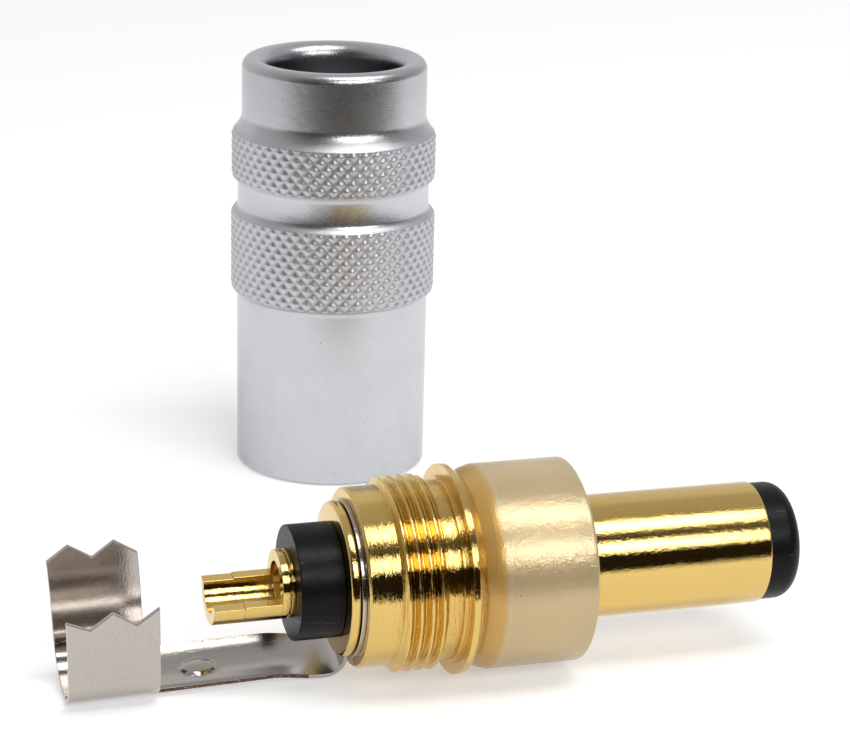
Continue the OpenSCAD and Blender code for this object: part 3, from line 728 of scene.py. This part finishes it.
# ---------------------------------------------------------------- mouldings
class PLUG_OT_mouldings(bpy.types.Operator):
    """Makes the milky collar and the black insulators"""
    bl_idname = "plug.mouldings"
    bl_label = "Mouldings"

    def execute(self, context):
        core = context.scene.plug_core
        finish = context.scene.plug_finish
        self.collar(core, milky_material(finish.milky))
        black = black_material(finish.black)
        self.nose(core, black)
        self.rear(black)
        return {"FINISHED"}

    def collar(self, core, material):
        radius, back = core.collar_radius / MM, -core.collar_back / MM
        front, edge, slip = 0.04, 0.16, 0.02
        spigot, barrel = SPIGOT_R + slip, BARREL_R + slip
        bevel, bevel_depth, bulge = 0.84, 0.42, 0.13
        profile = [(back, spigot), (back, radius - bevel_depth),
                   (back + bevel / 2, radius - bulge), (back + bevel, radius),
                   *arc((front - edge, radius - edge), edge, 90, 0, 5),
                   (front, barrel), (COLLAR_WALL, barrel), (COLLAR_WALL, spigot)]
        add_piece("collar_turned", *turned(profile, 160), "collar", material, 0.02)

    def nose(self, core, material):
        radius, rounding = core.nose_radius / MM, core.nose_round / MM
        tip = BARREL_FRONT + core.nose_reach / MM
        foot, back, socket_end, edge = BARREL_FRONT - 0.05, 2.3, 9.4, 0.12
        socket = SOCKET_R + 0.02
        profile = [(back, socket), (back, LINER_R), (foot, LINER_R), (foot, radius),
                   *arc((tip - rounding, radius - rounding), rounding, 90, 0, 10),
                   *arc((tip - edge, NOSE_MOUTH_R + edge), edge, 0, -90, 4),
                   (socket_end, NOSE_MOUTH_R), (socket_end, socket)]
        add_piece("nose_moulded", *turned(profile, 128), "tip_insulator", material, 0.02)

    def rear(self, material):
        stem, front = STEM_R + 0.01, -4.6
        profile = [(INSULATOR_BACK, stem), (INSULATOR_BACK, REAR_HEAD_R), (LIP_BACK, REAR_HEAD_R),
                   (LIP_BACK, LINER_R), (front, LINER_R), (front, stem)]
        add_piece("rear_insulator_moulded", *turned(profile, 128), "rear_insulator",
                  material, 0.06)


# ---------------------------------------------------------------- lug
class LugSettings(bpy.types.PropertyGroup):
    """Sizes of the crimp lug."""
    sheet: length("Sheet", "Thickness of the sheet", 0.2)
    tooth: length("Tooth", "Depth of the teeth", 0.78)
    far_lean: length("Far lean", "How far the far wing leans back at its top", 0.36)
    roll: FloatProperty(
        name="Roll", description="How far the lug is turned about the axis, far side up",
        default=math.radians(16), subtype="ANGLE")


class PLUG_OT_lug(bpy.types.Operator):
    """Bends the washer, the arm with its boss and the toothed crimp from sheet"""
    bl_idname = "plug.lug"
    bl_label = "Crimp lug"

    bend_x, crimp_x = -10.18, -10.14
    drop, bend_r, arm_len = 4.24, 0.9, 7.45
    slope = math.radians(1.9)

    def execute(self, context):
        lug = context.scene.plug_lug
        sheet = lug.sheet / MM
        points, faces = [], []
        self.washer(points, faces)
        sheared = self.arm(points, faces, sheet)
        self.crimp(points, faces, sheet, lug.tooth / MM, lug.far_lean / MM)
        material = nickel_material(context.scene.plug_finish.nickel)
        piece = add_piece("crimp_lug_bent", rolled(points, math.degrees(lug.roll)), faces,
                          "ground_lug", material, 0.03)
        # the sheet's near edge past the bend gets the painted-shade material
        piece.data.materials.append(shaded_edge_material())
        for k in range(*sheared):
            piece.data.polygons[k].material_index = 1
        return {"FINISHED"}

    def washer(self, points, faces):
        base = len(points)
        ring, more = turned([(WASHER_BACK, BODY_BORE_R), (WASHER_BACK, WASHER_R),
                             (BODY_BACK, WASHER_R), (BODY_BACK, BODY_BORE_R)], 96)
        points.extend(ring)
        faces.extend(tuple(base + k for k in face) for face in more)

    def add_sheet(self, points, faces, rows, sheet):
        """A thick sheet from rows of middle points, each with its normal."""
        count, base = len(rows[0]), len(points)
        for row in rows:
            points.extend(tuple(p + n * sheet / 2) for p, n in row)
            points.extend(tuple(p - n * sheet / 2) for p, n in row)
        loop = [*range(count), *range(2 * count - 1, count - 1, -1)]
        wide = 2 * count
        for r in range(len(rows) - 1):
            for k in range(wide):
                a, b = loop[k], loop[(k + 1) % wide]
                faces.append((base + r * wide + a, base + r * wide + b,
                              base + (r + 1) * wide + b, base + (r + 1) * wide + a))
        for r in (0, len(rows) - 1):
            for k in range(count - 1):
                at = base + r * wide
                faces.append((at + k, at + k + 1, at + count + k + 1, at + count + k))

    def arm(self, points, faces, sheet):
        washer_x, drop, bend, slope = self.bend_x, self.drop, self.bend_r, self.slope
        wide, form_len, trough = 2.9, 2.4, 3.3
        boss_at, boss_len, boss_wide, boss_rise = 5.35, 1.6, 1.1, 0.19
        tongue_z, into_crimp, bend_steps, arm_steps, bowl = -2.75, 0.35, 12, 64, 0.5
        whole = math.pi / 2 - slope
        foot_x = washer_x - bend * (1 - math.cos(whole))
        foot_z = -drop + bend - bend * math.sin(whole)
        stations = [(washer_x, tongue_z, 0, 0, 0), (washer_x, -drop + bend, 0, 0, 0)]
        for k in range(1, bend_steps + 1):
            turn = whole * k / bend_steps
            stations.append((washer_x - bend * (1 - math.cos(turn)),
                             -drop + bend - bend * math.sin(turn), turn, 0, 0))
        for k in range(1, arm_steps + 1):
            run = (self.arm_len + into_crimp) * k / arm_steps
            stations.append((foot_x - run * math.cos(slope), foot_z - run * math.sin(slope),
                             whole, run, min(1, run / form_len)))
        rows = []
        across = 28
        for x, z, turn, run, formed in stations:
            row = []
            formed = formed * formed * (3 - 2 * formed)
            normal = Vector((-math.cos(turn), 0, math.sin(turn)))
            for k in range(across + 1):
                u = wide * (k / across - 0.5)
                lift = formed * (trough - math.sqrt(trough ** 2 - u ** 2))
                away = ((run - boss_at) / (boss_len / 2)) ** 2 + (u / (boss_wide / 2)) ** 2
                if run and away < 1:
                    lift += boss_rise * (1 - away) ** bowl
                lean = 0.1 * formed * math.asin(u / trough)
                up = normal * math.cos(lean) - Vector((0, 1, 0)) * math.sin(lean)
                row.append((Vector((x, u, z)) + normal * lift, up.normalized()))
            rows.append(row)
        first, wide_loop = len(faces), 2 * len(rows[0])
        self.add_sheet(points, faces, rows, sheet)
        # the near edge of each row, past the bend
        past_bend = bend_steps + 8
        return first + past_bend * wide_loop - 1, first + (len(rows) - 1) * wide_loop, wide_loop

    def crimp(self, points, faces, sheet, tooth, far_lean):
        slope, bend, arm_len = self.slope, self.bend_r, self.arm_len
        start = Vector((
            self.crimp_x - bend * (1 - math.sin(slope)) - arm_len * math.cos(slope), 0,
            -self.drop + bend * (1 - math.cos(slope)) - arm_len * math.sin(slope)))
        long, half, corner = 3.95, 2.2 - sheet / 2, 1.85 - sheet / 2
        near, far = 5.6, 6.12
        near_line = (near, near - tooth, near, near - tooth, near - tooth / 3)
        far_line = (far - tooth, far, far - tooth, far, far - tooth)
        rows, steps, wing_steps, corner_steps = [], 48, 14, 10

        def height(line, share):
            at = share * (len(line) - 1)
            k = min(int(at), len(line) - 2)
            return line[k] + (line[k + 1] - line[k]) * (at - k)

        back = Vector((-math.cos(slope), 0, -math.sin(slope)))
        up = Vector((-math.sin(slope), 0, math.cos(slope)))
        side = Vector((0, 1, 0))
        for i in range(steps + 1):
            share = i / steps
            section = []
            top = height(near_line, share) - sheet / 2
            for k in range(wing_steps):
                section.append((-half, top + (corner - top) * k / wing_steps, -1, 0))
            for centre, first in ((corner - half, math.pi), (half - corner, 1.5 * math.pi)):
                for k in range(corner_steps + 1):
                    angle = first + math.pi / 2 * k / corner_steps
                    y, z = math.cos(angle), math.sin(angle)
                    section.append((centre + corner * y, corner + corner * z, y, z))
            top = height(far_line, share) - sheet / 2
            for k in range(1, wing_steps + 1):
                section.append((half, corner + (top - corner) * k / wing_steps, 1, 0))
            row = []
            for y, z, ny, nz in section:
                lean = (far_lean if y > 0 else far_lean / 3) * (z / far) ** 1.5
                place = start + back * (long * share + lean) + side * y + up * z
                row.append((place, (side * ny + up * nz).normalized()))
            rows.append(row)
        self.add_sheet(points, faces, rows, sheet)


# ---------------------------------------------------------------- shell
class ShellSettings(bpy.types.PropertyGroup):
    """Sizes of the shell's knurl."""
    diamonds: IntProperty(
        name="Diamonds", description="Diamonds round the shell", default=50, min=12)
    pitch: length("Diamond height", "Height of one diamond", 0.72)
    depth: length("Knurl depth", "Radial depth of the knurl", 0.095)


class PLUG_OT_shell(bpy.types.Operator):
    """Turns the shell and rolls its two knurled bands"""
    bl_idname = "plug.shell"
    bl_label = "Knurled shell"

    def execute(self, context):
        knurl = context.scene.plug_shell
        depth, pitch = knurl.depth / MM, knurl.pitch / MM
        # heights above the mouth and radii
        lower, upper = (9.5, 13.65, 5.36), (15.5, 17.9, 5.33)
        skirt, waist, brow, neck, hole, bore, thread = 5.015, 5.0, 5.2, 4.79, 3.5, 4.35, 4.09
        brow_at, brow_rise, thread_low, thread_high = 17.95, 0.9, 0.35, 3.2
        bore_end, hole_start, top, top_round, hole_round = 18.7, 19.55, 21.75, 0.5, 0.76
        run_out, ramp, foot_gap, rows_a_diamond, steps = 0.12, 0.05, 0.4, 12, 8
        profile = [(0, thread + 0.3), (0, skirt - 0.115), (0.12, skirt)]
        for band, foot in ((lower, skirt), (upper, waist)):
            low, high, crest = band
            rows = round((high - low) / pitch * rows_a_diamond)
            profile += [(low - foot_gap, foot), (low - foot_gap / 2, foot + ramp),
                        (low, crest - run_out)]
            profile += [(low + (high - low) * k / rows, crest) for k in range(rows + 1)]
            if band is lower:
                profile += [(high + 0.05, crest - 0.14), (high + foot_gap / 2, waist + ramp),
                            (high + foot_gap, waist)]
        profile += [(brow_at, brow)]
        profile += [(brow_at + brow_rise * k / steps,
                     brow - (brow - neck) * math.sin(math.pi / 2 * k / steps))
                    for k in range(1, steps + 1)]
        shoulder = top - top_round
        profile += [(shoulder, neck), *arc((shoulder, neck - top_round), top_round, 85, 0, 8)]
        profile += arc((top - hole_round, hole + hole_round), hole_round, 0, -90, 10)[1:]
        profile += [(hole_start, hole), (bore_end, bore), (thread_high, bore),
                    (thread_high, thread), (thread_low, thread)]

        end_cut = 0.8

        def diamonds(along, radius, angle):
            for low, high, crest in (lower, upper):
                if radius == crest and low <= along <= high:
                    turn = knurl.diamonds * angle / (2 * math.pi)
                    climb = (along - low) / pitch
                    grooves = [1 - 2 * abs((turn + way * climb) % 1 - 0.5) for way in (1, -1)]
                    cut = max(grooves)
                    cut = cut * cut * (3 - 2 * cut)
                    ease = min(1, min(along - low, high - along) / run_out)
                    return radius - depth * (cut * ease + end_cut * (1 - ease))
            return radius

        points, faces = turned(profile, knurl.diamonds * steps, diamonds)
        place = Vector((SHELL_AXIS.x, SHELL_AXIS.y, SHELL_LOW.z)) / MM
        points = [place + Vector((y, z, x)) for x, y, z in points]
        add_piece("shell_turned", points, faces, "shell",
                  aluminium_material(context.scene.plug_finish.aluminium), 0.05, 50)
        return {"FINISHED"}


# ---------------------------------------------------------------- panel and run
class PLUG_PT_panel(bpy.types.Panel):
    """Lists the steps of the plug's dressing"""
    bl_idname = "PLUG_PT_panel"
    bl_label = "Barrel plug"
    bl_space_type = "VIEW_3D"
    bl_region_type = "UI"
    bl_category = "Barrel plug"

    def draw(self, context):
        column = self.layout.column()
        for step in STEPS:
            column.operator(step.bl_idname)


SETTINGS = {"plug_stage": StageSettings, "plug_finish": FinishSettings, "plug_core": CoreSettings,
            "plug_lug": LugSettings, "plug_shell": ShellSettings}
STEPS = (PLUG_OT_stage, PLUG_OT_turned, PLUG_OT_mouldings, PLUG_OT_lug, PLUG_OT_shell)


def register():
    for cls in (*SETTINGS.values(), *STEPS, PLUG_PT_panel):
        bpy.utils.register_class(cls)
    for name, cls in SETTINGS.items():
        setattr(bpy.types.Scene, name, PointerProperty(type=cls))


def unregister():
    for name in SETTINGS:
        delattr(bpy.types.Scene, name)
    for cls in reversed((*SETTINGS.values(), *STEPS, PLUG_PT_panel)):
        bpy.utils.unregister_class(cls)


def main():
    register()
    for step in STEPS:
        group, action = step.bl_idname.split(".")
        getattr(getattr(bpy.ops, group), action)()


if __name__ == "__main__":
    main()
